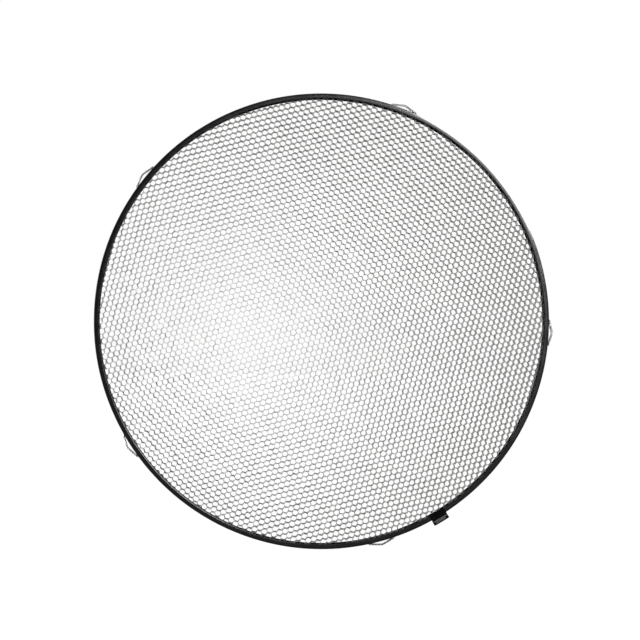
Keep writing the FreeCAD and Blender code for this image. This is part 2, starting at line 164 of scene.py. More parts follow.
def bent(route, radii, step_deg):
    """A route of corners with each inner corner rounded. Works in 2D and 3D."""
    route = [np.asarray(p, float) for p in route]
    path = [route[0]]
    for i in range(1, len(route) - 1):
        corner = route[i]
        back = route[i - 1] - corner
        ahead = route[i + 1] - corner
        back, ahead = back / np.linalg.norm(back), ahead / np.linalg.norm(ahead)
        half = math.acos(max(-1, min(1, float(back @ ahead)))) / 2
        radius = radii[i - 1]
        reach = radius / math.tan(half)
        middle = (back + ahead) / np.linalg.norm(back + ahead)
        centre = corner + middle * (radius / math.sin(half))
        first = corner + back * reach - centre
        last = corner + ahead * reach - centre
        sweep = math.acos(max(-1, min(1, float(first @ last) / (radius * radius))))
        steps = max(2, int(math.ceil(math.degrees(sweep) / step_deg)))
        for k in range(steps + 1):
            f = k / steps
            spoke = (math.sin((1 - f) * sweep) * first + math.sin(f * sweep) * last)
            path.append(centre + spoke / math.sin(sweep))
    path.append(route[-1])
    return np.array(path)


def resample(path, step):
    """Splits long stretches so that no step is longer than the one given."""
    points = [path[0]]
    for a, b in zip(path[:-1], path[1:]):
        count = max(1, int(math.ceil(np.linalg.norm(b - a) / step)))
        for k in range(1, count + 1):
            points.append(a + (b - a) * k / count)
    return np.array(points)


def unit_tangents(path):
    tangents = np.zeros_like(path)
    tangents[1:-1] = path[2:] - path[:-2]
    tangents[0] = path[1] - path[0]
    tangents[-1] = path[-1] - path[-2]
    return tangents / np.linalg.norm(tangents, axis=1)[:, None]


def tube(path, radius, sides):
    """Closed round tube along a 3D path that starts across Y, with rounded ends."""
    path = np.asarray(path, float)
    tangents = unit_tangents(path)
    normal = np.array([0.0, 1.0, 0.0])
    sections = []
    for point, tangent in zip(path, tangents):
        normal = normal - tangent * (normal @ tangent)
        normal /= np.linalg.norm(normal)
        sections.append((point, normal, np.cross(tangent, normal), radius))

    def rounded_end(section, outward):
        """Two more rings: (distance out, width), both as shares of the radius."""
        point, normal, side, _ = section
        return [(point + outward * radius * out, normal, side, radius * width)
                for out, width in ((0.22, 0.92), (0.42, 0.62))]

    sections = (rounded_end(sections[0], -tangents[0])[::-1] + sections
                + rounded_end(sections[-1], tangents[-1]))
    verts = []
    for point, normal, side, ring_radius in sections:
        for k in range(sides):
            a = 2 * math.pi * k / sides
            verts.append(point + ring_radius * (math.cos(a) * normal + math.sin(a) * side))
    count = len(sections)
    faces = ring_sides(count, sides)
    faces.append(tuple(reversed(range(sides))))
    faces.append(tuple((count - 1) * sides + k for k in range(sides)))
    return verts, faces


# -------------------------------------------------------------- node helpers
# Texture coordinates, and so bump distances, are in metres.

def set_inputs(tree, node, values):
    """Links or sets inputs, keyed by name or number. A colour is given as RGB."""
    for key, value in values.items():
        socket = node.inputs[key]
        if hasattr(value, "is_linked"):
            tree.links.new(value, socket)
        elif hasattr(value, "__len__"):
            socket.default_value = (*value, 1)
        else:
            socket.default_value = value


def new_material(name):
    mat = bpy.data.materials.new(name)
    mat.use_nodes = True
    tree = mat.node_tree
    tree.nodes.clear()
    out = tree.nodes.new("ShaderNodeOutputMaterial")
    bsdf = tree.nodes.new("ShaderNodeBsdfPrincipled")
    tree.links.new(bsdf.outputs["BSDF"], out.inputs["Surface"])
    return mat, tree, bsdf


def coords(tree):
    return tree.nodes.new("ShaderNodeTexCoord").outputs["Object"]


def stretched(tree, vector, scale_y):
    node = tree.nodes.new("ShaderNodeMapping")
    node.inputs["Scale"].default_value = (1.0, scale_y, 1.0)
    tree.links.new(vector, node.inputs["Vector"])
    return node.outputs["Vector"]


def separate(tree, vector):
    node = tree.nodes.new("ShaderNodeSeparateXYZ")
    tree.links.new(vector, node.inputs[0])
    return node.outputs


def noise(tree, vector, scale, detail=3.0, rough=0.5):
    node = tree.nodes.new("ShaderNodeTexNoise")
    set_inputs(tree, node, {"Scale": scale, "Detail": detail, "Roughness": rough,
                            "Vector": vector})
    return node.outputs["Fac"]


def ramp(tree, fac, low, high, start=0.3, end=0.7):
    """Grey or RGB ramp from low at `start` to high at `end`."""
    node = tree.nodes.new("ShaderNodeValToRGB")
    stops = ((start, low), (end, high))
    for element, (position, value) in zip(node.color_ramp.elements, stops):
        element.position = position
        if not hasattr(value, "__len__"):
            value = (value, value, value)
        element.color = (*value, 1)
    tree.links.new(fac, node.inputs["Fac"])
    return node.outputs["Color"]


def mix(tree, fac, a, b):
    node = tree.nodes.new("ShaderNodeMix")
    node.data_type = "RGBA"
    set_inputs(tree, node, {0: fac, 6: a, 7: b})
    return node.outputs[2]


def math_node(tree, operation, *values):
    node = tree.nodes.new("ShaderNodeMath")
    node.operation = operation
    set_inputs(tree, node, dict(enumerate(values)))
    return node.outputs[0]


def smooth_range(tree, value, from_min, from_max, to_min=0.0, to_max=1.0):
    node = tree.nodes.new("ShaderNodeMapRange")
    node.interpolation_type = "SMOOTHSTEP"
    set_inputs(tree, node, {"From Min": from_min, "From Max": from_max,
                            "To Min": to_min, "To Max": to_max, "Value": value})
    return node.outputs["Result"]


def bump(tree, bsdf, height, strength, distance):
    node = tree.nodes.new("ShaderNodeBump")
    set_inputs(tree, node, {"Strength": strength, "Distance": distance, "Height": height})
    tree.links.new(node.outputs["Normal"], bsdf.inputs["Normal"])


# ---------------------------------------------------------------- materials

def paint_material():
    """Satin black powder coat with a fine orange peel and light scuffs."""
    mat, tree, bsdf = new_material("rim_black_powder_coat")
    where = coords(tree)
    base = ramp(tree, noise(tree, where, scale=14.0, detail=4.0),
                low=(0.0016, 0.0016, 0.0017), high=(0.0034, 0.0034, 0.0033))
    # Rub marks: thin, broken and sparse.
    marks = noise(tree, stretched(tree, where, scale_y=9.0), scale=160.0, detail=6.0, rough=0.72)
    marks = ramp(tree, marks, low=0.0, high=1.0, start=0.66, end=0.74)
    rub_strength = 0.3
    rub_colour = (0.035, 0.035, 0.034)
    base = mix(tree, math_node(tree, "MULTIPLY", marks, rub_strength), base, rub_colour)
    rough = ramp(tree, noise(tree, where, scale=55.0, detail=4.0), low=0.20, high=0.29)
    set_inputs(tree, bsdf, {"Base Color": base, "Roughness": rough, "Specular IOR Level": 0.48})
    peel_height, dent_height = 0.35, 1.0
    peel = noise(tree, where, scale=1500.0, detail=2.0)
    dents = noise(tree, where, scale=60.0, detail=2.0)
    height = math_node(tree, "ADD", math_node(tree, "MULTIPLY", peel, peel_height),
                       math_node(tree, "MULTIPLY", dents, dent_height))
    bump(tree, bsdf, height, strength=0.15, distance=0.0001)
    return mat


def foil_material():
    """Bare aluminium foil: dull walls with roll lines, brighter cut edges, and painted shade on
    the outermost cells.
    """
    mat, tree, bsdf = new_material("core_aluminium_foil")
    where = coords(tree)
    geometry = tree.nodes.new("ShaderNodeNewGeometry")
    # Cut edges are the faces that look along Y.
    edge = math_node(tree, "ABSOLUTE", separate(tree, geometry.outputs["True Normal"])["Y"])
    edge = ramp(tree, edge, low=0.0, high=1.0, start=0.55, end=0.75)
    cells = noise(tree, where, scale=150.0)
    wall = ramp(tree, cells, low=(0.60, 0.60, 0.585), high=(0.78, 0.78, 0.76))
    cut = ramp(tree, noise(tree, where, scale=420.0, detail=2.0),
               low=(0.62, 0.62, 0.61), high=(0.84, 0.84, 0.82))
    bare = mix(tree, edge, wall, cut)
    # Painted shade: the outermost cells, inside the channel where its black flanges shade them,
    # are darkened to near black and made less metallic.
    spot = separate(tree, where)
    flat = tree.nodes.new("ShaderNodeCombineXYZ")
    set_inputs(tree, flat, {"X": spot["X"], "Z": spot["Z"]})
    radius = tree.nodes.new("ShaderNodeVectorMath")
    radius.operation = "LENGTH"
    tree.links.new(flat.outputs[0], radius.inputs[0])
    painted_shade = smooth_range(tree, radius.outputs["Value"], from_min=0.2443, from_max=0.2468)
    painted_shade_colour = (0.025, 0.025, 0.025)
    bare_metallic = 0.25
    metallic = math_node(tree, "MULTIPLY", math_node(tree, "SUBTRACT", 1.0, painted_shade), bare_metallic)
    # The near-black colour mixed in here is painted shade from the channel, not paint on the
    # foil.
    set_inputs(tree, bsdf, {"Base Color": mix(tree, painted_shade, bare, painted_shade_colour),
                            "Metallic": metallic,
                            "Roughness": ramp(tree, cells, low=0.48, high=0.62)})
    lines = noise(tree, stretched(tree, where, scale_y=0.12), scale=2200.0, detail=2.0)
    bump(tree, bsdf, lines, strength=0.25, distance=0.00008)
    return mat


def metal_material(name, tint, rough, relief):
    """Bare metal. tint and rough: (noise scale, low, high);
    relief: (noise scale, bump strength, bump distance)."""
    mat, tree, bsdf = new_material(name)
    where = coords(tree)

    def mottled(scale, low, high):
        return ramp(tree, noise(tree, where, scale), low, high)

    set_inputs(tree, bsdf, {"Base Color": mottled(*tint), "Metallic": 1.0,
                            "Roughness": mottled(*rough)})
    scale, strength, distance = relief
    bump(tree, bsdf, noise(tree, where, scale), strength, distance)
    return mat


def mill_material(name, dark, light):
    """Mill-finish aluminium for the splice and its rivets."""
    return metal_material(name, tint=(320.0, dark, light), rough=(700.0, 0.32, 0.5),
                          relief=(1400.0, 0.3, 0.00006))


def webbing_material():
    """Black polyester webbing: yarn-to-yarn colour changes and a fibre sheen."""
    mat, tree, bsdf = new_material("tab_black_webbing")
    where = coords(tree)
    base = ramp(tree, noise(tree, where, scale=900.0),
                low=(0.003, 0.003, 0.003), high=(0.008, 0.008, 0.0078))
    fluff = ramp(tree, noise(tree, where, scale=3600.0, detail=2.0),
                 low=0.0, high=1.0, start=0.62, end=0.72)
    fluff_strength = 0.25
    fluff_colour = (0.03, 0.03, 0.029)
    base = mix(tree, math_node(tree, "MULTIPLY", fluff, fluff_strength), base, fluff_colour)
    set_inputs(tree, bsdf, {"Base Color": base, "Roughness": 0.82, "Sheen Weight": 0.03,
                            "Sheen Roughness": 0.4, "Specular IOR Level": 0.25})
    bump(tree, bsdf, noise(tree, where, scale=4200.0, detail=2.0), strength=0.5, distance=0.00008)
    return mat


def yarn_material(name, dark, light, sheen):
    """Cloth or thread with fine yarn."""
    mat, tree, bsdf = new_material(name)
    where = coords(tree)
    base = ramp(tree, noise(tree, where, scale=2600.0), low=dark, high=light)
    set_inputs(tree, bsdf, {"Base Color": base, "Roughness": 0.7, "Sheen Weight": sheen,
                            "Specular IOR Level": 0.25})
    bump(tree, bsdf, noise(tree, where, scale=5200.0, detail=2.0), strength=0.5, distance=0.00006)
    return mat


PAINT = paint_material()
FOIL = foil_material()
WIRE = metal_material("spring_stainless_wire",
                      tint=(260.0, (0.56, 0.56, 0.545), (0.74, 0.74, 0.725)),
                      rough=(900.0, 0.24, 0.38), relief=(2600.0, 0.2, 0.00005))
WEBBING = webbing_material()
LABEL = yarn_material("label_black_cloth", dark=(0.003, 0.003, 0.003),
                      light=(0.008, 0.008, 0.008), sheen=0.02)
LABEL_MARK = yarn_material("label_grey_yarn", dark=(0.66, 0.66, 0.65),
                           light=(0.84, 0.84, 0.82), sheen=0.1)
THREAD = yarn_material("tab_thread", dark=(0.03, 0.03, 0.03),
                       light=(0.07, 0.07, 0.069), sheen=0.05)
SPLICE = mill_material("splice_mill_aluminium", dark=(0.42, 0.42, 0.42), light=(0.6, 0.6, 0.59))
RIVET = mill_material("rivet_satin_aluminium", dark=(0.46, 0.46, 0.46), light=(0.66, 0.66, 0.65))


# ---------------------------------------------------------------------- rim
# One rolled channel, open inwards, with a butt joint under the tab. The clips'
# holes and windows are cut through its web.

BEND_RADIUS = 2.5            # outside of the bends between web and flanges
FLANGE_POINT = 249.2         # radius of the extra point on each flange face
LIP_CENTRE = 247.9           # radius of the centre of each rounded lip
WEB_POINT = 1.6              # depth of the extra points on the web
JOINT_GAP = 0.25             # degrees
RIM_STEPS = 720

HOLE_RADIUS = 1.2
HOLE_SIDES = 28
# Centres of the window's corner arcs: along the rim (low, high), half depth, radius.
WINDOW_LOW, WINDOW_HIGH, WINDOW_HALF_DEPTH, WINDOW_CORNER = 14.0, 16.3, 3.65, 0.6
CUT_FROM, CUT_TO = 249.6, 255.0


def rim_profile():
    """Closed outline of (radius, depth), from the front lip round the outside."""
    lip = SHEET / 2
    lip_depth = RIM_HALF_DEPTH - lip
    inner_depth = RIM_HALF_DEPTH - SHEET
    web_inside = RIM_OUTER - SHEET
    inner_bend = BEND_RADIUS - SHEET
    bend_centre = RIM_OUTER - BEND_RADIUS
    bend_depth = RIM_HALF_DEPTH - BEND_RADIUS
    return [
        *arc(LIP_CENTRE, -lip_depth, lip, 90, 270, 6),
        (FLANGE_POINT, -RIM_HALF_DEPTH),
        *arc(bend_centre, -bend_depth, BEND_RADIUS, -90, 0, 10),
        (RIM_OUTER, -WEB_POINT),
        (RIM_OUTER, WEB_POINT),
        *arc(bend_centre, bend_depth, BEND_RADIUS, 0, 90, 10),
        (FLANGE_POINT, RIM_HALF_DEPTH),
        *arc(LIP_CENTRE, lip_depth, lip, 90, 270, 6),
        (FLANGE_POINT, inner_depth),
        *arc(bend_centre, bend_depth, inner_bend, 90, 0, 6),
        (web_inside, WEB_POINT),
        (web_inside, -WEB_POINT),
        *arc(bend_centre, -bend_depth, inner_bend, 0, -90, 6),
        (FLANGE_POINT, -inner_depth),
    ]


def rim_channel():
    profile = rim_profile()
    size = len(profile)
    verts, faces = [], []
    for i in range(RIM_STEPS + 1):
        a = math.radians(TAB_ANGLE - (360.0 - JOINT_GAP) * i / RIM_STEPS)
        # The rolled strip is never perfectly even, but never stands proud outside.
        wobble = 0.05 * math.sin(3 * a + 0.7) + 0.03 * math.sin(11 * a + 2.0)
        for radius, y in profile:
            uneven = radius + (wobble if radius < RIM_OUTER - 0.1 else min(wobble, 0.0))
            verts.append((uneven * MM * math.cos(a), y * MM, uneven * MM * math.sin(a)))
    for i in range(RIM_STEPS):
        for k in range(size):
            after = (k + 1) % size
            faces.append((i * size + k, (i + 1) * size + k,
                          (i + 1) * size + after, i * size + after))
    faces.append(tuple(range(size)))
    faces.append(tuple(RIM_STEPS * size + k for k in reversed(range(size))))
    return add_mesh("rim_channel_formed", verts, faces)


def opening_prism(angle, outline):
    """Cutting prism. Every outline runs anticlockwise, so all prisms face one way."""
    size = len(outline)
    verts = at_clip(angle, [(x, y, z) for z in (CUT_FROM, CUT_TO) for x, y in outline])
    faces = ring_sides(2, size)
    faces.append(tuple(reversed(range(size))))
    faces.append(tuple(size + k for k in range(size)))
    return verts, faces


def rim_openings():
    """At each clip: two round holes at one end and a window at the other."""
    prisms = []
    for angle in CLIP_ANGLES:
        for depth in (-CLIP_LEG_DEPTH, CLIP_LEG_DEPTH):
            turns = [2 * math.pi * k / HOLE_SIDES for k in range(HOLE_SIDES)]
            prisms.append(opening_prism(angle, [
                (-CLIP_HALF_SPAN + HOLE_RADIUS * math.cos(a), depth + HOLE_RADIUS * math.sin(a))
                for a in turns]))
        prisms.append(opening_prism(angle, rounded_rectangle(
            WINDOW_LOW, WINDOW_HIGH, -WINDOW_HALF_DEPTH, WINDOW_HALF_DEPTH, WINDOW_CORNER, 5)))
    return add_mesh("rim_cutter", *joined(prisms))


def build_rim():
    rim = rim_channel()
    cutter = rim_openings()
    modifier = rim.modifiers.new("openings", "BOOLEAN")
    modifier.operation = "DIFFERENCE"
    modifier.solver = "EXACT"
    modifier.object = cutter
    bpy.context.view_layer.update()
    evaluated = rim.evaluated_get(bpy.context.evaluated_depsgraph_get())
    shape = bpy.data.meshes.new_from_object(evaluated)
    rim.modifiers.clear()
    rim.data = shape
    shape.name = "rim_channel_formed"
    bpy.data.objects.remove(cutter)
    shape.shade_smooth()
    shape.set_sharp_from_angle(angle=math.radians(38))
    paint(rim, PAINT)
    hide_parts("rim_channel")
    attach(rim, "rim")
    return rim


rim = build_rim()


# --------------------------------------------------------------------- core
# The whole expanded honeycomb: every cell is a real opening, with walls of
# even foil, junctions a little out of place, and edges crushed at the rim.

PITCH = 6.42                 # between the centres of neighbouring cells
CELL_SIDE = PITCH / math.sqrt(3)
ROW_TURN = math.radians(14.6)
GRID_SHIFT = np.array([-0.2, 1.2])
WALL = 0.56
CORE_EDGE = 249.2
CORE_HALF_DEPTH = 6.35
JITTER = 0.11                # spread of the junctions, and of their lean
EDGE_JITTER = 0.05           # spread of the junctions' depth
LEAST_AREA = 0.24            # cells crushed below this share of a full one are left out
# Neighbouring cell across the side from corner n to corner n + 1.
NEIGHBOURS = [(0, 1), (-1, 1), (-1, 0), (0, -1), (1, -1), (1, 0)]


def lay_cells():
    """Regular grid: junction places (x, z), and six junction numbers for each cell."""
    row = np.array([math.cos(ROW_TURN), math.sin(ROW_TURN)])
    column = np.array([math.cos(ROW_TURN + math.pi / 3), math.sin(ROW_TURN + math.pi / 3)])
    corners = [np.array([math.cos(ROW_TURN + math.radians(30 + 60 * k)),
                         math.sin(ROW_TURN + math.radians(30 + 60 * k))]) * CELL_SIDE
               for k in range(6)]
    reach = int(CORE_EDGE / PITCH) + 8
    junctions, junction_at, cells = [], {}, {}
    for j in range(-reach, reach + 1):
        for i in range(-reach, reach + 1):
            centre = GRID_SHIFT + PITCH * (i * row + j * column)
            if np.hypot(*centre) > CORE_EDGE + 12:
                continue
            ids = []
            for corner in corners:
                place = centre + corner
                # Corners in the same or a touching quarter-millimetre square are one.
                a, b = round(place[0] * 4), round(place[1] * 4)
                near = [(a + da, b + db) for da in (-1, 0, 1) for db in (-1, 0, 1)]
                found = next((junction_at[key] for key in near if key in junction_at), None)
                if found is None:
                    found = len(junctions)
                    junctions.append(place)
                    junction_at[(a, b)] = found
                ids.append(found)
            cells[(i, j)] = ids
    return np.array(junctions), cells


def drifted(places):
    """Slow drift of the cells, as in a core pulled open by hand."""
    x, z = places[:, 0], places[:, 1]
    dx = (0.55 * np.sin(z / 61.0 + 0.4) + 0.35 * np.sin(x / 43.0 + z / 90.0 + 1.9)
          + 0.18 * np.sin(x / 17.0 - z / 23.0))
    dz = (0.50 * np.sin(x / 57.0 + 2.1) + 0.32 * np.sin(z / 39.0 - x / 80.0 + 0.3)
          + 0.18 * np.sin(x / 19.0 + z / 21.0 + 1.0))
    return np.stack([x + dx - 0.004 * x, z + dz + 0.002 * z], -1)


def crushed(places):
    """Pushes whatever lies past the core's edge back onto it."""
    radius = np.hypot(places[:, 0], places[:, 1])
    return places * np.where(radius > CORE_EDGE, CORE_EDGE / radius, 1.0)[:, None]


def area(polygon):
    x, z = polygon[:, 0], polygon[:, 1]
    return 0.5 * float(np.sum(x * np.roll(z, -1) - z * np.roll(x, -1)))


def inset(polygon, width):
    """Polygon moved in by a width on every side, held back at sharp corners."""
    count = len(polygon)
    moved = np.zeros_like(polygon)
    for k in range(count):
        a, b, c = polygon[k - 1], polygon[k], polygon[(k + 1) % count]
        before = (b - a) / max(np.linalg.norm(b - a), 1e-6)
        after = (c - b) / max(np.linalg.norm(c - b), 1e-6)
        inward = np.array([-before[1], before[0]]) + np.array([-after[1], after[0]])
        moved[k] = b + inward * (2 * width / max(float(inward @ inward), 0.35))
    return moved


def core_mesh():
    rng = np.random.default_rng(7)
    flat, cells = lay_cells()
    jitter = rng.normal(0, JITTER, flat.shape)
    lean = rng.normal(0, JITTER, flat.shape)
    middle = drifted(flat) + jitter
    front, back = crushed(middle + lean), crushed(middle - lean)
    y_front = -CORE_HALF_DEPTH + np.abs(rng.normal(0, EDGE_JITTER, len(flat)))
    y_back = CORE_HALF_DEPTH - np.abs(rng.normal(0, EDGE_JITTER, len(flat)))

    least = LEAST_AREA * (1.5 * math.sqrt(3) * CELL_SIDE * CELL_SIDE)
    present = {cell: ids for cell, ids in cells.items()
               if area(front[ids]) > least and area(back[ids]) > least}

    verts, faces = [], []
    starts = {}

    def corners_of(cell):
        """First of a cell's own twelve corner points: six in front, then six behind."""
        if cell not in starts:
            starts[cell] = len(verts)
            ids = cells[cell]
            for places, depth in ((front, y_front), (back, y_back)):
                for place, q in zip(inset(places[ids], WALL / 2), ids):
                    verts.append((place[0], depth[q], place[1]))
        return starts[cell]

    wall_sides = set()

    def add_side(cell, start, n, m):
        faces.append((start + n, start + m, start + 6 + m, start + 6 + n))
        wall_sides.add((cell, n))

    for cell in present:
        start = corners_of(cell)
        for n in range(6):
            m = (n + 1) % 6
            other = (cell[0] + NEIGHBOURS[n][0], cell[1] + NEIGHBOURS[n][1])
            if other not in cells:
                continue
            other_n = cells[other].index(cells[cell][m])
            other_m = (other_n + 1) % 6
            other_start = corners_of(other)
            add_side(cell, start, n, m)
            if other not in present:
                add_side(other, other_start, other_n, other_m)
            if other not in present or cell < other:
                # The wall's front and back edges.
                faces.append((start + m, start + n, other_start + other_m, other_start + other_n))
                faces.append((start + 6 + n, start + 6 + m,
                              other_start + 6 + other_n, other_start + 6 + other_m))

    # Small triangles where three walls meet, closed at the core's edge.
    junction_cells = {}
    for cell, ids in cells.items():
        for n, q in enumerate(ids):
            junction_cells.setdefault(q, []).append((cell, n))
    used = dict.fromkeys(q for cell, n in wall_sides
                         for q in (cells[cell][n], cells[cell][(n + 1) % 6]))
    for q in used:
        if len(junction_cells[q]) != 3:
            continue

        def around(entry):
            offset = flat[cells[entry[0]]].mean(0) - flat[q]
            return math.atan2(offset[1], offset[0])

        ring = sorted(junction_cells[q], key=around)
        ids = [corners_of(cell) + n for cell, n in ring]
        faces.append((ids[0], ids[2], ids[1]))
        faces.append((ids[0] + 6, ids[1] + 6, ids[2] + 6))
        for a in range(3):
            b = (a + 1) % 3
            if ring[a][0] not in present and ring[b][0] not in present:
                # No wall between these two: close the post's side.
                faces.append((ids[a], ids[b], ids[b] + 6, ids[a] + 6))
    return np.array(verts) * MM, faces


core = add_piece("honeycomb_cells", *core_mesh(), FOIL)
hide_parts("honeycomb_core")
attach(core, "rim")


# ------------------------------------------------------------------ springs
# Each clip is one continuous wire, bent as a hairpin: two wires side by side
# in depth, joined at the window end, with a wide rounded bend at its apex.

WIRE_RADIUS = 0.62
KNEE_OUT = 253.5             # distances outwards, along the clip's middle line
APEX_OUT = 257.55
HOOK_LEG = 2.75
HOOK_LEAN = math.radians(5.5)
HOOK_LENGTH = 3.0
FOOT_LEG = 3.05
FOOT_LENGTH = 3.5
FOOT_SLOPE = math.radians(11.0)
WIRE_BENDS = [1.0, 1.0, 5.5, 1.0, 1.0, 1.0]      # from the hook to the foot's end


def build_spring(index, angle):
    hook = (-CLIP_HALF_SPAN + HOOK_LEG * math.sin(HOOK_LEAN),
            KNEE_OUT - HOOK_LEG * math.cos(HOOK_LEAN))
    foot = (CLIP_HALF_SPAN, KNEE_OUT - FOOT_LEG)
    one = [
        (hook[0] + HOOK_LENGTH, hook[1]),
        hook,
        (-CLIP_HALF_SPAN, KNEE_OUT),
        (0.0, APEX_OUT),
        (CLIP_HALF_SPAN, KNEE_OUT),
        foot,
        (foot[0] + FOOT_LENGTH * math.cos(FOOT_SLOPE),
         foot[1] - FOOT_LENGTH * math.sin(FOOT_SLOPE)),
    ]
    route = ([(x, CLIP_LEG_DEPTH, z) for x, z in one]
             + [(x, -CLIP_LEG_DEPTH, z) for x, z in reversed(one)])
    path = resample(bent(route, WIRE_BENDS + WIRE_BENDS[::-1], 7.0), 0.9)
    verts, faces = tube(path, WIRE_RADIUS, 16)
    clip = add_piece("spring_clip_%d" % index, at_clip(angle, verts), faces, WIRE, 40)
    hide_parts("spring_%d_anchor_leg" % index, "spring_%d_sliding_leg" % index)
    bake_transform(clip)
    return clip


clips = [build_spring(number, angle) for number, angle in enumerate(CLIP_ANGLES, 1)]


# ---------------------------------------------------------------------- tab
# Woven strap over the rim's front and outside. Its middle is folded outwards
# as a double tail.

STRAP_HALF_WIDTH = 9.25
STRAP_THICKNESS = 1.12
RIB = 1.05                   # width of a rib of the weave
YARN = 1.5                   # length of a yarn's wave
YARN_HEIGHT = 0.075
EDGE_BAND = 0.7              # the strap thins over this width at its long edges
END_BAND = 0.5               # and over this length at its ends
ACROSS_POINTS = 67
# Corners of the strap's middle line: outwards, depth.
STRAP_CORNERS = [(246.78, -6.65), (246.78, -8.13), (253.68, -8.13), (253.68, -0.61),
                 (260.15, -0.61), (260.15, 0.61), (253.68, 0.61), (253.68, 6.0)]
STRAP_BENDS = [0.9, 3.1, 0.7, 0.58, 0.58, 0.7]


def weave(along, across):
    """Height of the yarns at a place along and across the strap."""
    rib = np.floor(across / RIB)
    ridge = np.abs(np.sin(np.pi * across / RIB))
    wave = 0.5 + 0.5 * np.cos(2 * np.pi * (along / YARN + 0.5 * (rib % 2)))
    return YARN_HEIGHT * (ridge ** 0.6) * (0.45 + 0.55 * wave)


def strap_mesh():
    """A closed strip along the strap's path, with its width along the rim."""
    path = resample(bent(STRAP_CORNERS, STRAP_BENDS, 9.0), 0.24)
    tangent = unit_tangents(path)
    normal = np.stack([-tangent[:, 1], tangent[:, 0]], 1)
    run = np.concatenate([[0], np.cumsum(np.linalg.norm(np.diff(path, axis=0), axis=1))])
    n, m = len(path), ACROSS_POINTS
    verts = []
    for side in (1, -1):
        for i in range(n):
            for across in np.linspace(-STRAP_HALF_WIDTH, STRAP_HALF_WIDTH, m):
                edge = max(0.0, (abs(across) - (STRAP_HALF_WIDTH - EDGE_BAND)) / EDGE_BAND)
                thick = STRAP_THICKNESS / 2 * math.sqrt(max(0.0, 1 - 0.82 * edge * edge))
                height = thick - YARN_HEIGHT + float(weave(run[i], across)) * (1 - edge)
                end = min(run[i], run[-1] - run[i])
                if end < END_BAND:
                    rounding = math.sqrt(max(0.0, 1 - (1 - end / END_BAND) ** 2))
                    height *= 0.55 + 0.45 * rounding
                out, y = path[i] + normal[i] * height * side
                verts.append((out, y, across))
    faces = []
    off = n * m
    for i in range(n - 1):
        for k in range(m - 1):
            a = i * m + k
            b = off + a
            faces.append((a, a + m, a + m + 1, a + 1))
            faces.append((b, b + 1, b + m + 1, b + m))
    for i in range(n - 1):
        a = i * m
        faces.append((a, off + a, off + a + m, a + m))
        a = i * m + m - 1
        faces.append((a, a + m, off + a + m, off + a))
    for k in range(m - 1):
        a = k
        faces.append((a, a + 1, off + a + 1, off + a))
        a = (n - 1) * m + k
        faces.append((a, off + a, off + a + 1, a + 1))
    points = np.array(verts)
    # The width follows the rim's curve.
    turn = points[:, 2] / RIM_OUTER
    curved = np.stack([points[:, 0] * np.cos(turn), points[:, 1],
                       points[:, 0] * np.sin(turn)], 1)
    return at_tab(curved), faces


webbing = add_piece("tab_webbing", *strap_mesh(), WEBBING, 60)
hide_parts("tab_strap", "tab_tail")
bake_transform(webbing)


# Label: a thin cloth on the tail's front, with one long bar and a row of dashes.
# Bars: outwards from, to; along the rim from, to; depth of base, height, corner radius.
LABEL_CLOTH = (255.75, 260.05, -8.85, 8.85, -1.2, 0.36, 0.25)
LABEL_BAR = (255.80, 256.62, -8.2, 8.2, -1.55, 0.12, 0.15)
DASH_FIRST, DASH_PITCH, DASH_LENGTH = -6.2, 2.12, 1.5


def rounded_bar(out0, out1, along0, along1, base, height, corner):
    """A low bar rising towards the front: outline rounded, top edge eased."""
    radius = min(corner, (out1 - out0) / 2 - 1e-3, (along1 - along0) / 2 - 1e-3)
    outline = rounded_rectangle(out0 + radius, out1 - radius,
                                along0 + radius, along1 - radius, radius, 4)
    middle = ((out0 + out1) / 2, (along0 + along1) / 2)
    ease = min(0.35 * height + 0.02, (out1 - out0) / 4, (along1 - along0) / 4)

    def shrunk(value, centre, shrink):
        return value - shrink * np.sign(value - centre) * min(1, abs(value - centre) / 0.05)

    verts = []
    for shrink, y in ((0, base), (0, base - height * 0.6), (ease, base - height)):
        for out, along in outline:
            verts.append((shrunk(out, middle[0], shrink), y, shrunk(along, middle[1], shrink)))
    size = len(outline)
    faces = ring_sides(3, size)
    faces.append(tuple(2 * size + k for k in range(size)))
    faces.append(tuple(reversed(range(size))))
    return verts, faces


def add_tab_piece(name, parts, material):
    verts, faces = joined(parts)
    return add_piece(name, at_tab(verts), faces, material, 50)


label = add_tab_piece("tab_label_cloth", [rounded_bar(*LABEL_CLOTH)], LABEL)
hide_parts("tab_label")
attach(label, "tab_end")

marks = [rounded_bar(*LABEL_BAR)]
for k in range(6):
    dash = DASH_FIRST + k * DASH_PITCH
    marks.append(rounded_bar(257.45, 258.65, dash, dash + DASH_LENGTH, -1.55, 0.10, 0.1))
label_marks = add_tab_piece("tab_label_dashes", marks, LABEL_MARK)
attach(label_marks, "tab_end")

# Stitches: short arched threads on the label's edge and on the tail's back.
STITCH_OUT = 259.2
STITCH_FIRST, STITCH_PITCH, STITCH_LENGTH = -7.6, 1.9, 1.2
STITCH_RISE = 0.14
THREAD_RADIUS = 0.13


def stitch(side, depth, middle):
    path = []
    for q in range(7):
        f = q / 6
        path.append((STITCH_OUT, depth + side * STITCH_RISE * math.sin(math.pi * f),
                     middle - STITCH_LENGTH / 2 + STITCH_LENGTH * f))
    return tube(path, THREAD_RADIUS, 8)


stitches = add_tab_piece("tab_stitches",
                         [stitch(side, depth, STITCH_FIRST + STITCH_PITCH * k)
                          for side, depth in ((-1, -1.56), (1, 1.16)) for k in range(9)],
                         THREAD)
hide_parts("tab_stitching")
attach(stitches, "tab_end")

paint(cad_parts["splice_plate"], SPLICE)
paint(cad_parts["splice_rivets"], RIVET)


# -------------------------------------------------------------------- stage
# From here on, lengths are in metres.

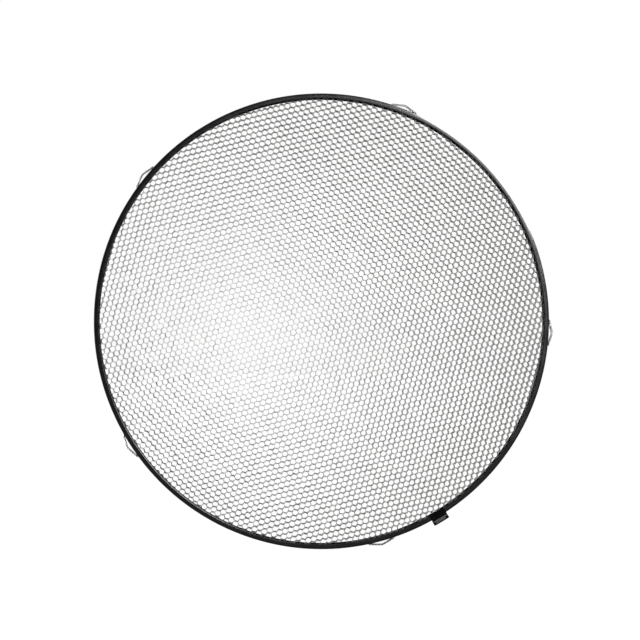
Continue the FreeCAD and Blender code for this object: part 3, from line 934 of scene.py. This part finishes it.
def floor_material():
    """Glows like a light table, far brighter to the camera than to the object."""
    mat, tree, bsdf = new_material("floor_white")
    glow, extra_to_camera = 0.18, 0.80
    rays = tree.nodes.new("ShaderNodeLightPath")
    extra = math_node(tree, "MULTIPLY", rays.outputs["Is Camera Ray"], extra_to_camera)
    set_inputs(tree, bsdf, {"Base Color": (0.34, 0.34, 0.34), "Roughness": 0.9,
                            "Specular IOR Level": 0.0, "Emission Color": (1, 1, 1),
                            "Emission Strength": math_node(tree, "ADD", extra, glow)})
    return mat


FLOOR_DROP = 0.0006          # below the lowest piece
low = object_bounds()[0][2] - FLOOR_DROP
floor = add_mesh("floor", [(-6, -4, low), (6, -4, low), (6, 8, low), (-6, 8, low)],
                 [(0, 1, 2, 3)])
paint(floor, floor_material())


def build_world():
    """White to the camera. Around the object it is dim in front, and bright
    behind, low and to the left."""
    fill_front, fill_back = 0.03, 1.15       # strength towards -Y and +Y
    tilt_z, tilt_x = -1.7, -1.2              # change of strength upwards and to the right
    least_tilt = 0.05
    world = bpy.data.worlds.new("studio")
    bpy.context.scene.world = world
    world.use_nodes = True
    tree = world.node_tree
    tree.nodes.clear()
    out = tree.nodes.new("ShaderNodeOutputWorld")
    direction = tree.nodes.new("ShaderNodeTexCoord")
    parts = separate(tree, direction.outputs["Generated"])
    behind = smooth_range(tree, parts["Y"], from_min=-0.35, from_max=0.75,
                          to_min=fill_front, to_max=fill_back)
    tilt = math_node(tree, "ADD", math_node(tree, "MULTIPLY", parts["Z"], tilt_z),
                     math_node(tree, "MULTIPLY", parts["X"], tilt_x))
    tilt = math_node(tree, "MAXIMUM", math_node(tree, "ADD", tilt, 1.0), least_tilt)
    level = math_node(tree, "MULTIPLY", behind, tilt)
    rays = tree.nodes.new("ShaderNodeLightPath")
    blend = tree.nodes.new("ShaderNodeMixShader")
    tree.links.new(rays.outputs["Is Camera Ray"], blend.inputs[0])
    for slot, strength in ((1, level), (2, 1.0)):
        background = tree.nodes.new("ShaderNodeBackground")
        set_inputs(tree, background, {"Color": (1, 1, 1), "Strength": strength})
        tree.links.new(background.outputs[0], blend.inputs[slot])
    tree.links.new(blend.outputs[0], out.inputs["Surface"])


def area_light(name, place, aim, size, power, only=None):
    """A panel that the camera doesn't see, lighting all or only some of the pieces."""
    data = bpy.data.lights.new(name, "AREA")
    data.shape = "RECTANGLE"
    data.size, data.size_y = size
    data.energy = power
    light = bpy.data.objects.new(name, data)
    light.location = place
    toward = (Vector(aim) - Vector(place)).normalized()
    # The panel's second side lies as near as it can to the Y axis.
    up = (Vector((0, 1, 0)) - toward * toward.y).normalized()
    side = up.cross(-toward)
    light.rotation_euler = Matrix((side, up, -toward)).transposed().to_euler()
    light.visible_camera = False
    bpy.context.scene.collection.objects.link(light)
    if only:
        group = bpy.data.collections.new("lit_by_" + name)
        for obj in only:
            group.objects.link(obj)
        light.light_linking.receiver_collection = group


build_world()
area_light("key_right", place=(0.50, -2.0, 0.42), aim=(0, 0, 0), size=(0.5, 0.5), power=5.5,
           only=[rim, floor] + clips + [webbing, label, label_marks, stitches])
# A long softbox running front to back, for a narrow reflection along the rim.
area_light("strip_upper_right", place=(1.06, -0.6, 0.98), aim=(0.18, -0.6, 0.16),
           size=(1.0, 4.6), power=370, only=[rim])
# A low front light from the left that opens up the foil and the wires.
area_light("core_front_left", place=(-1.08, -1.86, -0.42), aim=(0, 0, 0), size=(1.0, 1.0),
           power=92, only=[core] + clips)
area_light("soft_top", place=(0.0, -0.6, 2.4), aim=(0, 0, 0), size=(1.6, 1.2), power=2)

scene = bpy.context.scene
scene.view_settings.view_transform = "Standard"
scene.view_settings.look = "None"
scene.view_settings.exposure = 0.0
scene.view_settings.gamma = 1.0

camera_data = bpy.data.cameras.new("camera")
camera_data.lens = 90.0
camera_data.sensor_width = 36.0
camera_data.sensor_fit = "HORIZONTAL"
camera_data.clip_start = 0.01
camera_data.clip_end = 100.0
camera_data.shift_x = -0.004140625
camera_data.shift_y = 0.001640625
camera = bpy.data.objects.new("camera", camera_data)
camera.location = (-0.0845, -1.779, -0.016)
camera.rotation_euler = (-camera.location).to_track_quat("-Z", "Y").to_euler()
scene.collection.objects.link(camera)
scene.camera = camera
